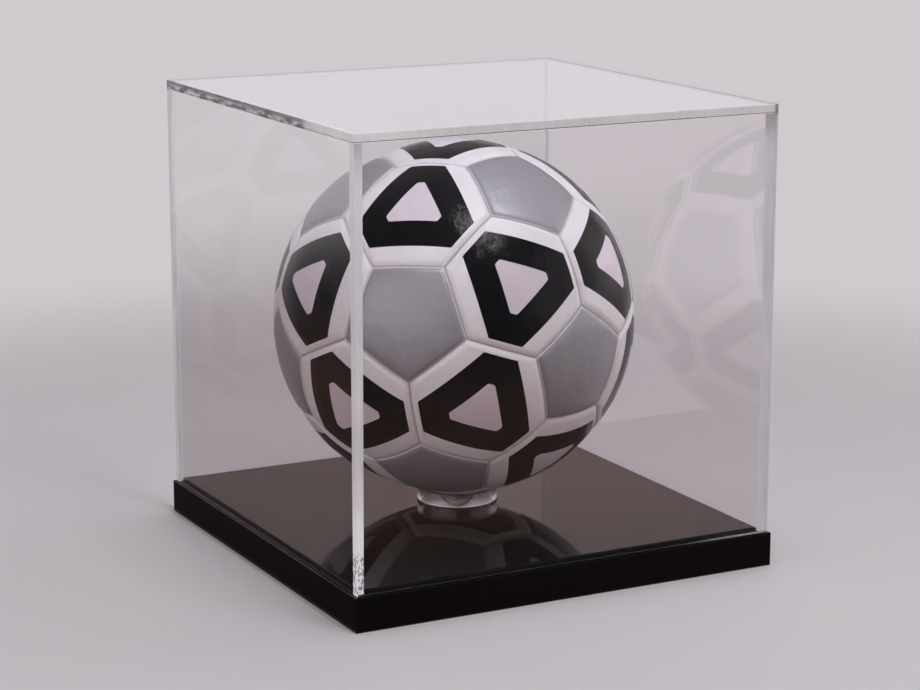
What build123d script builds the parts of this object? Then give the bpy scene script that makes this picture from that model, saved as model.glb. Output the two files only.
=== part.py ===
from build123d import *
from math import acos, asin, atan, cos, degrees, pi, radians, sin, sqrt, tan
import os

# Display case for a football: a clear five-sided cover that drops over a raised plate on a black
# base, with a clear ring that holds the ball. Millimetres, +Z up. The origin is the centre of the
# base's underside, where it meets the table.

os.makedirs("parts", exist_ok=True)

# ---------------------------------------------------------------- driving dimensions

# Black base, a closed box glued up from sheet
base_side = 277.0
base_height = 20.5
deck_sheet = 5.0
skirt_sheet = 5.0
bottom_sheet = 3.0
bottom_gap = 0.3
plate_sheet = 3.0
base_edge_break = 0.4

# Clear cover, four walls with the top sheet laid over them
cover_inset = 1.5
cover_height = 260.0
wall_sheet = 5.0
top_sheet = 5.0
cover_edge_break = 0.4

# The plate stands inside the walls with this much room on each side
plate_clearance = 1.0

# Clear ring that carries the ball, standing loose and a little off centre
ring_x = 1.0
ring_y = 10.0
ring_outer_radius = 25.0
ring_wall = 3.0
ring_height = 8.5

# Ball: twelve pentagons and twenty hexagons sewn round a bladder
ball_radius = 110.0
panel_crown_radius = 100.0
panel_thickness = 3.0
seam_gap = 0.6
ball_tilt_x = 34.0
ball_tilt_y = 8.0
ball_spin = -3.0
seat_gap = 0.3

# Bladder, and the rubber valve that comes up through it and one hexagon on the far side
bladder_gap = 0.3
bladder_wall = 0.8
valve_stem_radius = 3.5
valve_flange_radius = 9.0
valve_flange_thickness = 1.2
valve_depth = 0.5
valve_clearance = 0.3
needle_radius = 1.0

# ---------------------------------------------------------------- derived places

cover_side = base_side - 2 * cover_inset
inner_side = cover_side - 2 * wall_sheet
wall_height = cover_height - top_sheet
plate_side = inner_side - 2 * plate_clearance
plate_top = base_height + plate_sheet
skirt_height = base_height - deck_sheet
bottom_side = base_side - 2 * (skirt_sheet + bottom_gap)

# The ball sits where a sphere over its crowned panels meets the ring's inner edge
ring_inner_radius = ring_outer_radius - ring_wall
ring_top = plate_top + ring_height
ball_z = ring_top + sqrt((ball_radius + seat_gap) ** 2 - ring_inner_radius**2)

# Every crown is a sphere of its own that touches the ball's at the panel's middle
crown_drop = ball_radius - panel_crown_radius
lining_radius = ball_radius - panel_thickness
bladder_radius = lining_radius - bladder_gap
bladder_inner_radius = bladder_radius - bladder_wall

# ---------------------------------------------------------------- base

with BuildPart() as base_deck:
    with BuildSketch(Plane.XY.offset(skirt_height)):
        Rectangle(base_side, base_side)
    extrude(amount=deck_sheet)
    chamfer(base_deck.faces().sort_by(Axis.Z)[-1].edges(), base_edge_break)
base_deck.part.label = "base_deck"

with BuildPart() as base_bottom:
    with BuildSketch():
        Rectangle(bottom_side, bottom_side)
    extrude(amount=bottom_sheet)
base_bottom.part.label = "base_bottom"

with BuildPart() as raised_plate:
    with BuildSketch(Plane.XY.offset(base_height)):
        Rectangle(plate_side, plate_side)
    extrude(amount=plate_sheet)
    chamfer(raised_plate.faces().sort_by(Axis.Z)[-1].edges(), base_edge_break)
raised_plate.part.label = "raised_plate"

# The front and back skirts run the full width, and the side skirts fit between them
skirt_middle = (base_side - skirt_sheet) / 2
skirt_spots = {
    "skirt_front": (0, -skirt_middle, base_side, skirt_sheet),
    "skirt_back": (0, skirt_middle, base_side, skirt_sheet),
    "skirt_left": (-skirt_middle, 0, skirt_sheet, base_side - 2 * skirt_sheet),
    "skirt_right": (skirt_middle, 0, skirt_sheet, base_side - 2 * skirt_sheet),
}
skirts = []
for name, (x, y, length, width) in skirt_spots.items():
    with BuildPart() as skirt:
        with BuildSketch():
            with Locations((x, y)):
                Rectangle(length, width)
        extrude(amount=skirt_height)
    skirt.part.label = name
    skirts.append(skirt.part)

# ---------------------------------------------------------------- cover

# The front and back walls run the full width, and the side walls fit between them
wall_middle = (cover_side - wall_sheet) / 2
wall_spots = {
    "cover_front": (0, -wall_middle, cover_side, wall_sheet),
    "cover_back": (0, wall_middle, cover_side, wall_sheet),
    "cover_left": (-wall_middle, 0, wall_sheet, inner_side),
    "cover_right": (wall_middle, 0, wall_sheet, inner_side),
}
walls = []
for name, (x, y, length, width) in wall_spots.items():
    with BuildPart() as wall:
        with BuildSketch(Plane.XY.offset(base_height)):
            with Locations((x, y)):
                Rectangle(length, width)
        extrude(amount=wall_height)
        if length > width:
            outer_face = wall.faces().sort_by(Axis.Y)[0 if y < 0 else -1]
            chamfer(outer_face.edges().filter_by(Axis.Z), cover_edge_break)
    wall.part.label = name
    walls.append(wall.part)

with BuildPart() as cover_top:
    with BuildSketch(Plane.XY.offset(base_height + wall_height)):
        Rectangle(cover_side, cover_side)
    extrude(amount=top_sheet)
    upper_rim = cover_top.faces().sort_by(Axis.Z)[-1].edges()
    chamfer(upper_rim + cover_top.edges().filter_by(Axis.Z), cover_edge_break)
cover_top.part.label = "cover_top"

# ---------------------------------------------------------------- ring stand

with BuildPart() as ring_stand:
    with BuildSketch(Plane.XY.offset(plate_top)):
        with Locations((ring_x, ring_y)):
            Circle(ring_outer_radius)
            Circle(ring_inner_radius, mode=Mode.SUBTRACT)
    extrude(amount=ring_height)
ring_stand.part.label = "ring_stand"

# ---------------------------------------------------------------- ball

# Angles of a truncated icosahedron that stands on a pentagon, in degrees at its centre: the
# polar angles of its rows of faces, and from the centre of a face to its corners
pentagon_ring = degrees(atan(2))
upper_hexagon_ring = degrees(acos(sqrt((5 + 2 * sqrt(5)) / 15)))
lower_hexagon_ring = upper_hexagon_ring + degrees(acos(sqrt(5) / 3))
corner_radius_per_edge = sqrt(58 + 18 * sqrt(5)) / 4
pentagon_corner = degrees(asin(1 / (2 * sin(pi / 5) * corner_radius_per_edge)))
hexagon_corner = degrees(asin(1 / corner_radius_per_edge))

# How steeply a low pyramid over a hexagon falls away from its tip
pyramid_fall = tan(radians(hexagon_corner / 2)) / cos(pi / 6)

# Each row is its polar angle, the azimuth of its first panel, how many panels it has, and the
# turn that keeps its corners in line with its neighbours'
pentagon_rows = (
    (0, 0, 1, 0),
    (pentagon_ring, 0, 5, 180),
    (180 - pentagon_ring, 36, 5, 0),
    (180, 0, 1, 0),
)
hexagon_rows = (
    (upper_hexagon_ring, 36, 5, 0),
    (lower_hexagon_ring, 36, 5, 0),
    (180 - lower_hexagon_ring, 0, 5, 0),
    (180 - upper_hexagon_ring, 0, 5, 0),
)
ball_place = Location((ring_x, ring_y, ball_z), (ball_tilt_x, ball_tilt_y, ball_spin))

from_the_centre = (Align.CENTER, Align.CENTER, Align.MIN)

# A crown's sphere has its poles off the panel, level with the ball's centre
poles_aside = (0, 90, 0)


def panel_places(rows):
    """The frame of each panel, on the ball's centre and with its own Z outwards."""
    places = []
    for polar, first_azimuth, count, turn in rows:
        for step in range(count):
            round_pole = Location((0, 0, 0), (0, 0, first_azimuth + step * 360 / count))
            off_pole = Location((0, 0, 0), (0, polar, 0))
            places.append(ball_place * round_pole * off_pole * Location((0, 0, 0), (0, 0, turn)))
    return places


def low_pyramid(sides, corner_angle, first_corner, radius, depth):
    """A solid whose upper side is a low pyramid with its tip and corners on a sphere round the
    ball's centre, and which goes straight down from the corners by depth."""
    corner_height = radius * cos(radians(corner_angle))
    with BuildPart() as pyramid:
        with BuildSketch(Plane.XY.offset(corner_height)) as outline:
            RegularPolygon(radius * sin(radians(corner_angle)), sides, rotation=first_corner)
        loft([outline.sketch.face(), Vertex(0, 0, radius)])
        extrude(outline.sketch, amount=-depth)
    return pyramid.part


def crowned_panel(sides, corner_angle, first_corner):
    """One panel at the pole, between a crowned outer face and a back that clears the bladder."""
    edge_slope = degrees(atan(tan(radians(corner_angle)) * cos(pi / sides)))
    foot = lining_radius * cos(radians(corner_angle)) - panel_thickness
    apothem = foot * tan(radians(edge_slope)) - seam_gap / 2
    with BuildPart() as panel:
        with BuildSketch(Plane.XY.offset(foot)):
            RegularPolygon(apothem, sides, major_radius=False, rotation=first_corner)
        extrude(amount=ball_radius - foot, taper=-edge_slope)
        with Locations((0, 0, crown_drop)):
            Sphere(panel_crown_radius, rotation=poles_aside, mode=Mode.INTERSECT)
        back = low_pyramid(sides, corner_angle, first_corner, lining_radius, 2 * panel_thickness)
        add(back, mode=Mode.SUBTRACT)
    return panel.part


pentagon = crowned_panel(5, pentagon_corner, 0)
hexagon = crowned_panel(6, hexagon_corner, 30)
valve_place = max(panel_places(hexagon_rows), key=lambda place: Plane(place).z_dir.Y)
valve_hole_radius = valve_stem_radius + valve_clearance

with BuildPart() as pentagon_panels:
    with Locations(*panel_places(pentagon_rows)):
        add(pentagon)
pentagon_panels.part.label = "pentagon_panels"

with BuildPart() as hexagon_panels:
    with Locations(*panel_places(hexagon_rows)):
        add(hexagon)
    with Locations(valve_place):
        Cylinder(valve_hole_radius, ball_radius, align=from_the_centre, mode=Mode.SUBTRACT)
hexagon_panels.part.label = "hexagon_panels"

# ---------------------------------------------------------------- bladder and valve


def bladder_cell(sides, corner_angle, first_corner, radius):
    """What lies under one panel, from the ball's centre out to a low pyramid."""
    with BuildPart() as cell:
        with BuildSketch(Plane.XY.offset(radius * cos(radians(corner_angle)))) as outline:
            RegularPolygon(radius * sin(radians(corner_angle)), sides, rotation=first_corner)
        loft([Vertex(0, 0, 0), outline.sketch.face()])
        loft([outline.sketch.face(), Vertex(0, 0, radius)])
    return cell.part


def many_sided_ball(radius):
    """The bladder's shape at some radius, with a low pyramid under every panel."""
    with BuildPart() as ball:
        with Locations(*panel_places(pentagon_rows)):
            add(bladder_cell(5, pentagon_corner, 0, radius))
        with Locations(*panel_places(hexagon_rows)):
            add(bladder_cell(6, hexagon_corner, 30, radius))
    return ball.part


with BuildPart() as bladder:
    add(many_sided_ball(bladder_radius))
    add(many_sided_ball(bladder_inner_radius), mode=Mode.SUBTRACT)
    with Locations(valve_place):
        Cylinder(valve_hole_radius, ball_radius, align=from_the_centre, mode=Mode.SUBTRACT)
bladder.part.label = "bladder"

# The flange's rim meets the low pyramid above it
flange_top = bladder_inner_radius - valve_clearance - valve_flange_radius * pyramid_fall
flange_bottom = flange_top - valve_flange_thickness
stem_top = ball_radius - valve_depth
with BuildPart() as valve_body:
    with BuildSketch(Plane.XZ):
        with BuildLine():
            Polyline(
                (needle_radius, flange_bottom),
                (valve_flange_radius, flange_bottom),
                (valve_flange_radius, flange_top),
                (valve_stem_radius, flange_top),
                (valve_stem_radius, stem_top),
                (needle_radius, stem_top),
                close=True,
            )
        make_face()
    revolve(axis=Axis.Z)

with BuildPart() as valve:
    with Locations(valve_place):
        add(valve_body.part)
valve.part.label = "valve"

# ---------------------------------------------------------------- files

cover_and_base = [base_deck.part, base_bottom.part, raised_plate.part, cover_top.part, *skirts, *walls]
ball_and_ring = [ring_stand.part, pentagon_panels.part, hexagon_panels.part, bladder.part, valve.part]
for piece in cover_and_base + ball_and_ring:
    export_step(piece, f"parts/{piece.label}.step")
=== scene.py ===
from math import acos, asin, atan, cos, pi, radians, sin, sqrt, tan, tau

import bmesh
import bpy
import numpy as np
from mathutils import Euler, Matrix, Vector


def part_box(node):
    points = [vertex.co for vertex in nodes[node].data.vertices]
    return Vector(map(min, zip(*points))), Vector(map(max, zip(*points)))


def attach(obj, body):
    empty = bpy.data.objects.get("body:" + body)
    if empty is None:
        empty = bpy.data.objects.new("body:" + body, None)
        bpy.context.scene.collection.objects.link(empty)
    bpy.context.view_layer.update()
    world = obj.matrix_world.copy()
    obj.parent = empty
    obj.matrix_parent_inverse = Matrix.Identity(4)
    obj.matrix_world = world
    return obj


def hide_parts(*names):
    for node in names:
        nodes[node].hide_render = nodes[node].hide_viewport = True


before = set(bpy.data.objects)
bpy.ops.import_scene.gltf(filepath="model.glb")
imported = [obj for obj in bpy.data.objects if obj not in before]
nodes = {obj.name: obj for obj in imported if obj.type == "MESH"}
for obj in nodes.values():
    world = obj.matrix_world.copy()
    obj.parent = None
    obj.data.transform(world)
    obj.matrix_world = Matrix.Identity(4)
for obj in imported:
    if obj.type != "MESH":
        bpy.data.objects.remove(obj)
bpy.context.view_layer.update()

mm = 0.001

# The cover's upper rim, from its sawn lower line to where it is fully pale
rim_foot = 274 * mm
rim_top = 275.5 * mm

# ---------------------------------------------------------------- shader sums


class Signal:
    """An output of a shader node that takes part in sums: 1 - mask adds the Math node it needs."""

    def __init__(self, recipe, socket):
        self.recipe = recipe
        self.socket = socket

    def maths(self, operation, *values):
        inputs = dict(enumerate(values))
        return self.recipe.node("ShaderNodeMath", {"operation": operation}, inputs)

    def __add__(self, other):
        return self.maths("ADD", self, other)

    def __sub__(self, other):
        return self.maths("SUBTRACT", self, other)

    def __mul__(self, other):
        return self.maths("MULTIPLY", self, other)

    def __rsub__(self, other):
        return self.maths("SUBTRACT", other, self)

    __radd__ = __add__
    __rmul__ = __mul__

    def ramp(self, start, end):
        """0 below start and 1 above end, or the other way round where end is the lower."""
        values = {"Value": self, "From Min": start, "From Max": end}
        settings = {"interpolation_type": "SMOOTHSTEP"}
        return self.recipe.node("ShaderNodeMapRange", settings, values)


class Recipe:
    """The node tree of one material or of the world."""

    def __init__(self, tree):
        self.tree = tree
        tree.nodes.clear()

    def node(self, kind, settings=None, inputs=None, output=0):
        """Adds one node: its settings first, then values or links on its inputs."""
        added = self.tree.nodes.new(kind)
        for name, value in (settings or {}).items():
            setattr(added, name, value)
        for name, value in (inputs or {}).items():
            if isinstance(value, Signal):
                self.tree.links.new(value.socket, added.inputs[name])
            else:
                added.inputs[name].default_value = value
        return Signal(self, added.outputs[output]) if added.outputs else added

    def blend(self, factor, first, second):
        """A colour that goes from first to second."""
        inputs = {0: factor, 6: first, 7: second}
        return self.node("ShaderNodeMix", {"data_type": "RGBA"}, inputs, 2)

    def largest(self, first, second):
        return self.node("ShaderNodeMath", {"operation": "MAXIMUM"}, {0: first, 1: second})

    def place(self):
        """Where a point lies on the object at rest, in metres."""
        return self.node("ShaderNodeTexCoord", output="Object")

    def axes(self):
        """That place as three numbers."""
        split = self.node("ShaderNodeSeparateXYZ", inputs={0: self.place()})
        outputs = split.socket.node.outputs
        return [Signal(self, outputs[axis]) for axis in "XYZ"]

    def noise(self, grain, detail=3.0, stretch=(1, 1, 1)):
        """Cloudy noise from 0 to 1 whose lumps are about grain metres across."""
        inputs = {"Vector": self.place(), "Scale": stretch}
        spread = self.node("ShaderNodeMapping", inputs=inputs)
        inputs = {"Vector": spread, "Scale": 1 / grain, "Detail": detail}
        return self.node("ShaderNodeTexNoise", {"noise_dimensions": "3D"}, inputs)

    def bump(self, height, depth):
        """The normal of a surface raised by height, from 0 to 1, times depth in metres."""
        return self.node("ShaderNodeBump", inputs={"Height": height, "Distance": depth})

    def surface(self, shader):
        self.node("ShaderNodeOutputMaterial", inputs={"Surface": shader})


def material(name):
    made = bpy.data.materials.new(name)
    made.use_nodes = True
    return made, Recipe(made.node_tree)


def colour(red, green, blue):
    """A screen colour, 0 to 255 a channel, as Blender's linear one."""
    parts = [c / 255 for c in (red, green, blue)]
    linear = [c / 12.92 if c < 0.04045 else ((c + 0.055) / 1.055) ** 2.4 for c in parts]
    return (*linear, 1.0)


# ---------------------------------------------------------------- finishes


def black_acrylic():
    """Polished black sheet with faint wipe marks."""
    made, mix = material("black_acrylic")
    wipes = mix.noise(0.030, 5, (1.0, 3.0, 1.0))
    dust = mix.noise(0.0006, 2).ramp(0.74, 0.80)
    inputs = {
        "Base Color": mix.blend(dust * 0.25, colour(7, 4, 2), colour(56, 52, 48)),
        "Roughness": 0.03 + wipes * 0.04 + dust * 0.15,
        "IOR": 1.49,
    }
    mix.surface(mix.node("ShaderNodeBsdfPrincipled", inputs=inputs))
    return made


def clear_acrylic(name, tint):
    """Clear sheet that lets lamps through."""
    made, mix = material(name)
    clear = {
        "Base Color": tint,
        "Roughness": 0.0,
        "IOR": 1.49,
        "Specular IOR Level": 0.3,
        "Transmission Weight": 1.0,
    }
    sheet = mix.node("ShaderNodeBsdfPrincipled", inputs=clear)
    in_shadow = mix.node("ShaderNodeLightPath", output="Is Shadow Ray")
    shade = mix.node("ShaderNodeBsdfTransparent", inputs={"Color": colour(250, 250, 250)})
    mix.surface(mix.node("ShaderNodeMixShader", inputs={0: in_shadow, 1: sheet, 2: shade}))
    return made


def cut_edge_painted_glow():
    """The sawn edge of a clear sheet, pale frosted acrylic that also glows with painted light standing in
    for the light the sheet carries to it.
    It has fine saw lines, a few bubbles low in the corner joints, painted shade on the far top rim and dark
    streaks along the left rim."""
    made, mix = material("cut_edge_painted_glow")
    x, y, z = mix.axes()
    saw_lines = mix.noise(0.0012, 3, (1.0, 1.0, 0.04))
    cloud = mix.noise(0.020, 3)
    paint = mix.blend(0.5 * saw_lines + 0.5 * cloud, colour(188, 190, 195), colour(229, 232, 238))
    rim = z.ramp(rim_foot, rim_top)
    # Painted shade: the far top rims are painted grey
    far_top_shade = mix.largest(x.ramp(133 * mm, 136 * mm), y.ramp(133 * mm, 136 * mm)) * rim
    paint = mix.blend(far_top_shade, paint, colour(132, 135, 138))
    bubbles = mix.noise(0.0014, 3, (1.0, 1.0, 0.6)).ramp(0.47, 0.56)
    low = z.ramp(47 * mm, 40 * mm) * z.ramp(21 * mm, 24 * mm)
    near_corner = x.ramp(-128 * mm, -131 * mm) * y.ramp(-128 * mm, -131 * mm)
    paint = mix.blend(bubbles * low * near_corner * 0.8, paint, colour(78, 76, 88))
    # Darker streaks along the left rim, darkest towards its top
    left_rim = x.ramp(-134 * mm, -135 * mm) * rim * y.ramp(-80 * mm, -66 * mm)
    dark_streaks = mix.noise(0.0065, 4, (1.0, 0.45, 2.2)).ramp(0.38, 0.60)
    upper = z.ramp(277.2 * mm, 279 * mm)
    paint = mix.blend(left_rim * mix.largest(dark_streaks, upper * 0.8) * 0.9, paint, colour(84, 86, 94))
    # Painted light: every sawn edge glows by emission, more on the back half of the left wall and most near
    # the front left corner post, low down
    near_post = x.ramp(-60 * mm, -120 * mm) * y.ramp(-60 * mm, -120 * mm)
    front_rim = y.ramp(-134 * mm, -135 * mm) * rim
    painted_glow = 0.28 + x.ramp(-120 * mm, -134 * mm) * y.ramp(0, 120 * mm) * 0.10
    painted_glow = painted_glow + near_post * (z.ramp(100 * mm, 30 * mm) * 0.55 + z.ramp(180 * mm, 250 * mm) * 0.16 + 0.04)
    painted_glow = painted_glow + front_rim * x.ramp(-125 * mm, 0) * 0.03
    inputs = {
        "Base Color": paint,
        "Roughness": 0.32 + saw_lines * 0.15,
        "IOR": 1.49,
        "Emission Color": mix.blend(painted_glow, (0, 0, 0, 1), paint),
        "Emission Strength": 0.6,
    }
    mix.surface(mix.node("ShaderNodeBsdfPrincipled", inputs=inputs))
    return made


def foot_edge_painted_light():
    """The cover's foot, a sawn edge painted dim as a painted reflection of the black base. It is painted
    lighter towards the far ends of the left and front walls, painted light that stands in for light reaching
    it along the sheet."""
    made, mix = material("foot_edge_painted_light")
    x, y, z = mix.axes()
    saw_lines = mix.noise(0.0012, 3, (0.06, 0.06, 1.0))
    left_foot = x.ramp(-131 * mm, -133 * mm)
    # Painted light: dim near the front left corner, lighter towards the far ends of both walls
    painted_light_left = mix.blend(y.ramp(-120 * mm, 110 * mm), colour(44, 36, 52), colour(104, 99, 105))
    painted_light_front = mix.blend(x.ramp(70 * mm, 128 * mm), colour(24, 24, 27), colour(150, 147, 152))
    paint = mix.blend(left_foot, painted_light_front, painted_light_left)
    inputs = {
        "Base Color": paint,
        "Roughness": 0.35 + saw_lines * 0.2,
        "IOR": 1.49,
        "Specular IOR Level": 0.1,
    }
    mix.surface(mix.node("ShaderNodeBsdfPrincipled", inputs=inputs))
    return made


def ring_edge_shaded():
    """The sawn rims of the ring, painted darker than the cover's sawn edges as painted shade, seen against
    the dark plate.
    """
    made, mix = material("ring_edge_shaded")
    saw_lines = mix.noise(0.0010, 3)
    inputs = {
        # Painted shade: a darker copy of the sawn acrylic
        "Base Color": mix.blend(saw_lines, colour(112, 104, 98), colour(150, 142, 136)),
        "Roughness": 0.30 + saw_lines * 0.2,
        "IOR": 1.49,
    }
    mix.surface(mix.node("ShaderNodeBsdfPrincipled", inputs=inputs))
    return made


def leather(name, paint, roughness, metallic=0.0, shine=0.5):
    """Coated ball leather: fine pores, soft puckers and a slightly uneven coat."""
    made, mix = material(name)
    pores = mix.noise(0.0007, 4)
    puckers = mix.noise(0.0075, 3)
    cloud = mix.noise(0.035, 3)
    height = pores * 0.35 + puckers * 4.5
    darker = tuple(c * 0.86 for c in paint[:3]) + (1.0,)
    inputs = {
        "Base Color": mix.blend(cloud, darker, paint),
        "Roughness": roughness + (cloud - 0.5) * 0.12 + (pores - 0.5) * 0.10,
        "Metallic": metallic,
        "IOR": 1.5,
        "Specular IOR Level": shine,
        "Normal": mix.bump(height, 0.00012),
    }
    mix.surface(mix.node("ShaderNodeBsdfPrincipled", inputs=inputs))
    return made


def rubber():
    made, mix = material("black_rubber")
    grain = mix.noise(0.0015, 4)
    inputs = {
        "Base Color": mix.blend(grain, colour(22, 22, 23), colour(38, 37, 38)),
        "Roughness": 0.55 + grain * 0.2,
        "Normal": mix.bump(grain, 0.0001),
    }
    mix.surface(mix.node("ShaderNodeBsdfPrincipled", inputs=inputs))
    return made


# ---------------------------------------------------------------- the ball's panels

ball_low, ball_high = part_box("hexagon_panels")
ball_centre = (ball_low + ball_high) / 2
ball_turn = Euler((radians(34), radians(8), radians(-3)), "ZYX")
ball_radius = 110 * mm
crown_radius = 100 * mm
crown_drop = ball_radius - crown_radius
panel_depth = 3.15 * mm
seam_slit = 0.12 * mm
seam_depth = 1.5 * mm
seam_roll = 4.2 * mm
crease_width = 0.9 * mm

# Angles of a ball of twelve pentagons and twenty hexagons, at its centre: from the middle of a
# face to its corners, and between a pole through a pentagon and the rows of faces
corner_radius_per_edge = sqrt(58 + 18 * sqrt(5)) / 4
pentagon_corner = asin(1 / (2 * sin(pi / 5) * corner_radius_per_edge))
hexagon_corner = asin(1 / corner_radius_per_edge)
pentagon_ring = atan(2)
upper_ring = acos(sqrt((5 + 2 * sqrt(5)) / 15))
lower_ring = upper_ring + acos(sqrt(5) / 3)
fifth = tau / 5

# Each row is its polar angle, first azimuth, how many faces it has and their turn
pentagon_rows = (
    (0, 0, 1, 0),
    (pentagon_ring, 0, 5, pi),
    (pi - pentagon_ring, fifth / 2, 5, 0),
    (pi, 0, 1, 0),
)
hexagon_rows = (
    (upper_ring, fifth / 2, 5, 0),
    (lower_ring, fifth / 2, 5, pi),
    (pi - lower_ring, 0, 5, 0),
    (pi - upper_ring, 0, 5, pi),
)


def panel_places(rows):
    """The frame of each panel, on the ball's centre and with its own Z outwards."""
    ball = Matrix.Translation(ball_centre) @ ball_turn.to_matrix().to_4x4()
    places = []
    for polar, first, count, turn in rows:
        for step in range(count):
            around = Matrix.Rotation(first + step * tau / count, 4, "Z")
            places.append(ball @ around @ Matrix.Rotation(polar, 4, "Y") @ Matrix.Rotation(turn, 4, "Z"))
    return places


def reach(azimuths, sides, sharpness=None):
    """How far an outline reaches at each azimuth. Its sides are pairs of distance and azimuth. The
    corners are sharp, or softer the lower sharpness is."""
    distances = np.array([distance for distance, facing in sides])
    facings = np.array([facing for distance, facing in sides])
    towards = np.maximum(np.cos(azimuths[:, None] - facings), 1e-3) / distances
    nearest = towards.max(axis=1)
    if sharpness is None:
        return 1 / nearest
    return 1 / (nearest * ((towards / nearest[:, None]) ** sharpness).sum(axis=1) ** (1 / sharpness))


def even_sides(count, distance, first):
    return [(distance, first + step * tau / count) for step in range(count)]


ray_count = 120
azimuths = np.arange(ray_count) * tau / ray_count


def panel(count, corner_angle, first_side, prints):
    """One panel at the pole, as rings of points and each ring's material number. The rings pass
    through each print's outline, roll over into the seam and close underneath. prints are pairs of
    an outline's reach and how many rings lie inside it."""
    middle_angle = atan(tan(corner_angle) * cos(pi / count))
    facings = first_side + np.arange(count) * tau / count
    stretch = 1 / cos(middle_angle) ** 2

    def seam(inset):
        distance = ball_radius * tan(middle_angle) - inset * stretch
        return reach(azimuths, even_sides(count, distance, first_side))

    white = len(prints)
    crease = white + 1
    margin = [(seam(seam_roll), 3, white), (seam(crease_width), 7, white), (seam(seam_slit), 3, crease)]
    outlines = [(outer, rings, paint) for paint, (outer, rings) in enumerate(prints)] + margin
    reaches = []
    paints = []
    inner = np.zeros(ray_count)
    for outer, rings, paint in outlines:
        for step in range(1, rings + 1):
            reaches.append(inner + (outer - inner) * step / rings)
            paints.append(paint)
        inner = outer
    planes = np.stack(
        [
            np.cos(facings) * cos(middle_angle),
            np.sin(facings) * cos(middle_angle),
            np.full(count, -sin(middle_angle)),
        ]
    )

    def lifted(out, sunk=None):
        """The points that rays with this reach meet, on the skin or sunk to a set radius."""
        flat = np.stack([out * np.cos(azimuths), out * np.sin(azimuths), np.full(ray_count, ball_radius)], 1)
        rays = flat / np.linalg.norm(flat, axis=1)[:, None]
        if sunk is not None:
            return rays * sunk
        height = rays[:, 2:]
        crown = crown_drop * height + np.sqrt(crown_radius**2 - crown_drop**2 * (1 - height**2))
        to_seam = ball_radius * np.arcsin(-(rays @ planes).max(axis=1))[:, None]
        roll = np.maximum(0, 1 - to_seam / seam_roll)
        return rays * (crown - seam_depth * roll**2)

    back = ball_radius - panel_depth
    points = [lifted(out) for out in reaches]
    points += [lifted(inner * share, back) for share in (1, 0.66, 0.33)]
    paints += [crease] * 3
    return points, paints


def panel_skin(name, places, shape, finishes):
    """All the panels of one kind as one mesh, each ring of faces in its print's finish."""
    rings, paints = shape
    ring_points = np.concatenate(rings)
    front_pole = [0, 0, np.linalg.norm(rings[0][0]) + 0.02 * mm]
    back_pole = [0, 0, np.linalg.norm(rings[-1][0])]
    points = np.concatenate([ring_points, [front_pole, back_pole]])
    last = len(rings) - 1
    faces = []
    slots = []
    for step in range(ray_count):
        following = (step + 1) % ray_count
        faces.append((len(ring_points), step, following))
        slots.append(paints[0])
        for ring in range(last):
            near = ring * ray_count
            far = near + ray_count
            faces.append((near + step, far + step, far + following, near + following))
            slots.append(paints[ring + 1])
        faces.append((last * ray_count + step, len(ring_points) + 1, last * ray_count + following))
        slots.append(paints[last])
    vertices = []
    all_faces = []
    for count, place in enumerate(places):
        turned = points @ np.array(place.to_3x3()).T + np.array(place.translation)
        vertices.append(turned)
        shift = count * len(points)
        all_faces += [[corner + shift for corner in face] for face in faces]
    mesh = bpy.data.meshes.new(name)
    mesh.from_pydata(np.concatenate(vertices), [], all_faces)
    mesh.polygons.foreach_set("material_index", slots * len(places))
    mesh.shade_smooth()
    mesh.set_sharp_from_angle(angle=radians(50))
    for finish in finishes:
        mesh.materials.append(finish)
    skin = bpy.data.objects.new(name, mesh)
    bpy.context.scene.collection.objects.link(skin)
    return skin


white_leather = leather("white_leather", colour(234, 231, 238), 0.42)
black_print = leather("black_print", colour(16, 15, 18), 0.22, shine=0.15)
silver_print = leather("silver_print", colour(168, 166, 173), 0.48, 0.54)
pale_print = leather("pale_print", colour(222, 212, 224), 0.42)
# The crease strip in the seam's valley is painted a little darker than the white leather, as painted shade
crease_leather_shaded = leather("crease_leather_shaded", colour(214, 209, 217), 0.55)

# The black print is a triangle with its corners cut off towards the neighbouring hexagons, and
# in its middle is a smaller pale one. Distances are on a plane that touches the panel's middle.
third = tau / 3
black_sides = even_sides(3, 38.4 * mm, 0) + even_sides(3, 28.4 * mm, third / 2)
pale_sides = even_sides(3, 18.6 * mm, 0) + even_sides(3, 11.2 * mm, third / 2)
silver_sides = even_sides(5, 30.1 * mm, fifth / 2)
hexagon = panel(
    6,
    hexagon_corner,
    0,
    [(reach(azimuths, pale_sides, 60), 6), (reach(azimuths, black_sides, 90), 7)],
)
pentagon = panel(5, pentagon_corner, fifth / 2, [(reach(azimuths, silver_sides, 60), 9)])

hexagon_finishes = [pale_print, black_print, white_leather, crease_leather_shaded]
pentagon_finishes = [silver_print, silver_print, crease_leather_shaded]
hexagon_skin = panel_skin("hexagon_skin", panel_places(hexagon_rows), hexagon, hexagon_finishes)
pentagon_skin = panel_skin("pentagon_skin", panel_places(pentagon_rows), pentagon, pentagon_finishes)
for skin, node in ((hexagon_skin, "hexagon_panels"), (pentagon_skin, "pentagon_panels")):
    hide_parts(node)
    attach(skin, "ball")

# ---------------------------------------------------------------- base, cover and ring

base_black = black_acrylic()
skirts = ("skirt_front", "skirt_back", "skirt_left", "skirt_right")
for node in ("base_deck", "base_bottom", "raised_plate", *skirts):
    nodes[node].data.materials.clear()
    nodes[node].data.materials.append(base_black)

cover_clear = clear_acrylic("clear_cover", colour(254, 252, 253))
cover_cut = cut_edge_painted_glow()
cover_foot = foot_edge_painted_light()
ring_cut = ring_edge_shaded()
joint = 0.03 * mm


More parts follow.
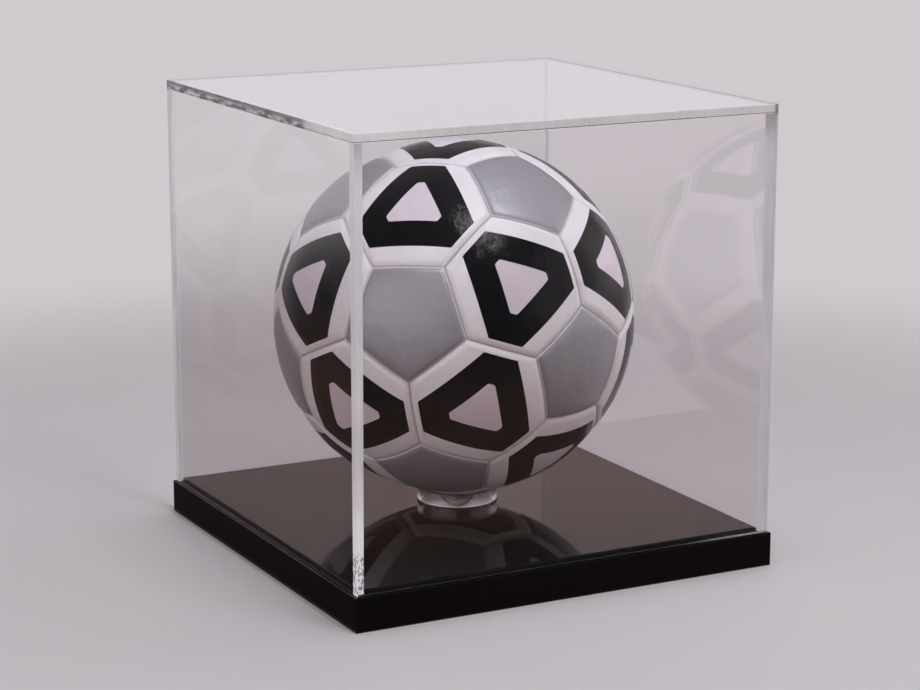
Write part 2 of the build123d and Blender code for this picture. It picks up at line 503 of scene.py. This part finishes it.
def clear_sheet(name, thin):
    """One sheet of the cover, standing a hair clear of its neighbours. Its broad faces lie across
    the thin axis, and its narrow ones are sawn."""
    low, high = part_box(name)
    low = low + Vector((joint, joint, joint))
    high = high - Vector((joint, joint, joint))
    form = bmesh.new()
    bmesh.ops.create_cube(form, size=1.0)
    for corner in form.verts:
        corner.co = [l + (c + 0.5) * (h - l) for l, h, c in zip(low, high, corner.co)]
    bmesh.ops.bevel(form, geom=form.edges[:], offset=0.35 * mm, segments=2, profile=0.5, affect="EDGES")
    form.normal_update()
    for face in form.faces:
        face.material_index = 2 if face.normal.z < -0.2 else 1
        if abs(face.normal[thin]) > 0.99:
            face.material_index = 0
    mesh = bpy.data.meshes.new(name + "_sheet")
    form.to_mesh(mesh)
    form.free()
    for finish in (cover_clear, cover_cut, cover_foot):
        mesh.materials.append(finish)
    sheet = bpy.data.objects.new(name + "_sheet", mesh)
    bpy.context.scene.collection.objects.link(sheet)
    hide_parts(name)
    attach(sheet, "cover")


thin_axes = {"cover_front": 1, "cover_back": 1, "cover_left": 0, "cover_right": 0, "cover_top": 2}
for name, thin in thin_axes.items():
    clear_sheet(name, thin)


def cement_bead(x_side, y_side):
    """The bead of cement that stands in a corner between two walls, thicker towards the top."""
    left_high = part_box("cover_left")[1]
    front_low, front_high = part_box("cover_front")
    corner_x = x_side * -left_high.x
    corner_y = y_side * -front_high.y
    form = bmesh.new()
    rings = []
    end_gap = 0.5 * mm
    narrowest = 0.5 * mm
    widest = 1.9 * mm if y_side < 0 else 0.7 * mm
    hollow = 0.92
    for height, size in ((front_low.z + end_gap, narrowest), (front_high.z - end_gap, widest)):
        ring = [form.verts.new((corner_x, corner_y, height))]
        for step in range(7):
            angle = radians(15 * step)
            across = corner_x - x_side * size * (1 - hollow * cos(angle))
            along = corner_y - y_side * size * (1 - hollow * sin(angle))
            ring.append(form.verts.new((across, along, height)))
        rings.append(ring)
    low, high = rings
    for step in range(len(low)):
        after = (step + 1) % len(low)
        form.faces.new((low[step], low[after], high[after], high[step]))
    form.faces.new(low)
    form.faces.new(high)
    bmesh.ops.recalc_face_normals(form, faces=form.faces[:])
    name = "cement_bead_" + ("right" if x_side > 0 else "left") + ("_back" if y_side > 0 else "_front")
    mesh = bpy.data.meshes.new(name)
    form.to_mesh(mesh)
    form.free()
    # The bead takes the sawn edges' finish, with its painted glow
    mesh.materials.append(cover_cut)
    bead = bpy.data.objects.new(name, mesh)
    bpy.context.scene.collection.objects.link(bead)
    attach(bead, "cover")


for x_side in (-1, 1):
    for y_side in (-1, 1):
        cement_bead(x_side, y_side)


def lathed_ring(name, turn_count=128):
    """The clear tube slice under the ball, with softened rims and sawn ends."""
    low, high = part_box(name)
    middle = (low + high) / 2
    outer = (high.x - low.x) / 2 - joint
    wall = 3 * mm
    inner = outer - wall + 2 * joint
    bottom = low.z + joint
    top = high.z - joint
    soft = 0.4 * mm
    profile = []
    corners = ((outer, bottom, -90), (outer, top, 0), (inner, top, 90), (inner, bottom, 180))
    for radius, height, start in corners:
        centre_radius = radius - soft if radius == outer else radius + soft
        centre_height = height - soft if height == top else height + soft
        for step in range(5):
            angle = radians(start + step * 22.5)
            profile.append((centre_radius + soft * cos(angle), centre_height + soft * sin(angle)))
    form = bmesh.new()
    loops = []
    for turn in range(turn_count):
        around = turn * tau / turn_count
        loops.append(
            [form.verts.new((middle.x + r * cos(around), middle.y + r * sin(around), z)) for r, z in profile]
        )
    for turn in range(turn_count):
        this, following = loops[turn], loops[(turn + 1) % turn_count]
        for step in range(len(profile)):
            after = (step + 1) % len(profile)
            face = form.faces.new((this[step], following[step], following[after], this[after]))
            face.smooth = True
            across = abs(profile[after][0] - profile[step][0])
            face.material_index = 1 if across > abs(profile[after][1] - profile[step][1]) else 0
    bmesh.ops.recalc_face_normals(form, faces=form.faces[:])
    mesh = bpy.data.meshes.new("clear_ring")
    form.to_mesh(mesh)
    form.free()
    mesh.set_sharp_from_angle(angle=radians(40))
    mesh.materials.append(cover_clear)
    mesh.materials.append(ring_cut)
    ring = bpy.data.objects.new("clear_ring", mesh)
    bpy.context.scene.collection.objects.link(ring)
    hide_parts(name)
    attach(ring, "ring")


lathed_ring("ring_stand")

black_rubber = rubber()
for node in ("bladder", "valve"):
    nodes[node].data.materials.clear()
    nodes[node].data.materials.append(black_rubber)

# ---------------------------------------------------------------- room, lamps and camera


def in_view(mix):
    """1 for what the camera sees, straight or through the clear cover, and 0 for what shows in
    reflections or gives light."""
    ray = mix.node("ShaderNodeLightPath").socket.node.outputs
    turned = Signal(mix, ray["Glossy Depth"]) + Signal(mix, ray["Diffuse Depth"])
    through = Signal(mix, ray["Is Transmission Ray"]) * turned.ramp(1, 0)
    return mix.largest(Signal(mix, ray["Is Camera Ray"]), through)


backdrop = colour(207, 202, 206)
pale_floor = colour(216, 211, 214)
room_shade = colour(40, 38, 42)
near_wood = colour(158, 84, 30)
far_wood = colour(130, 72, 32)
bpy.ops.mesh.primitive_plane_add(size=30.0)
floor = bpy.context.object
floor.name = "floor"
floor_paint, mix = material("floor_paint")
x, y, z = mix.axes()
dark = (1 - in_view(mix)) * mix.largest(y.ramp(-0.137, -0.142), x.ramp(-0.137, -0.142) * y.ramp(1.3, 0.7))
further_out = mix.largest(y.ramp(-0.22, -0.32), x.ramp(-0.25, -0.45))
beyond = mix.largest(y.ramp(-0.50, -0.75), x.ramp(-0.50, -0.75))
dark_paint = mix.blend(further_out, colour(40, 26, 16), colour(112, 68, 38))
dark_paint = mix.blend(beyond, dark_paint, room_shade)
near_paint = mix.blend(dark, pale_floor, dark_paint)
ray = mix.node("ShaderNodeLightPath").socket.node.outputs
lighting = Signal(mix, ray["Diffuse Depth"]).ramp(0, 1)
near_paint = mix.blend(lighting, near_paint, near_wood)
lit = mix.node("ShaderNodeBsdfPrincipled", inputs={"Base Color": near_paint, "Roughness": 0.6})
far_paint = mix.blend(dark, backdrop, room_shade)
far_paint = mix.blend(lighting, far_paint, far_wood)
far = mix.node("ShaderNodeEmission", inputs={"Color": far_paint})
faraway = (x * x + y * y).ramp(0.10, 0.85)
mix.surface(mix.node("ShaderNodeMixShader", inputs={0: faraway, 1: lit, 2: far}))
floor.data.materials.append(floor_paint)

world = bpy.data.worlds.new("studio")
world.use_nodes = True
bpy.context.scene.world = world
mix = Recipe(world.node_tree)
direction = mix.node("ShaderNodeSeparateXYZ", inputs={0: mix.node("ShaderNodeTexCoord", output="Generated")})
in_front = Signal(mix, direction.socket.node.outputs["Y"]).ramp(0.10, -0.40)
height = Signal(mix, direction.socket.node.outputs["Z"])
behind_colour = mix.blend(height.ramp(0.0, 0.08), backdrop, colour(225, 222, 229))
behind_colour = mix.blend(height.ramp(0.16, 0.23), behind_colour, colour(187, 166, 167))
behind_colour = mix.blend(height.ramp(0.36, 0.60), behind_colour, colour(206, 202, 209))
lamp_colour = mix.blend(in_front, behind_colour, (0.13, 0.125, 0.13, 1))
on_left = Signal(mix, direction.socket.node.outputs["X"]).ramp(-0.15, -0.60)
lamp_colour = mix.blend(on_left, lamp_colour, (0.12, 0.117, 0.12, 1))
sky = mix.node("ShaderNodeBackground", inputs={"Color": mix.blend(in_view(mix), lamp_colour, backdrop)})
mix.node("ShaderNodeOutputWorld", inputs={"Surface": sky})


def lamp(name, place, width, height, power, tone=(1, 1, 1)):
    """A soft panel of light that faces the ball."""
    data = bpy.data.lights.new(name, "AREA")
    data.shape = "RECTANGLE"
    data.size = width
    data.size_y = height
    data.energy = power
    data.color = tone
    made = bpy.data.objects.new(name, data)
    made.location = place
    made.rotation_euler = (ball_centre - Vector(place)).to_track_quat("-Z", "Y").to_euler()
    bpy.context.scene.collection.objects.link(made)


lamp("ceiling_light", (0.04, -0.66, 1.62), 0.35, 0.55, 8.4, (0.94, 0.98, 1.0))
lamp("window_light", (1.62, -0.95, 0.80), 3.4, 1.5, 15.8, (1.0, 0.98, 0.99))
lamp("fill_light", (-1.52, -0.58, 0.56), 2.6, 0.95, 11.8, (1.0, 0.96, 0.97))

camera_data = bpy.data.cameras.new("camera")
camera_data.lens = 101.54
camera_data.sensor_width = 36
camera = bpy.data.objects.new("camera", camera_data)
camera.location = (-0.7238, -1.3865, 0.4744)
camera.rotation_euler = (radians(77.35), 0, radians(-27.53))
bpy.context.scene.collection.objects.link(camera)
bpy.context.scene.camera = camera
bpy.context.scene.view_settings.view_transform = "Standard"
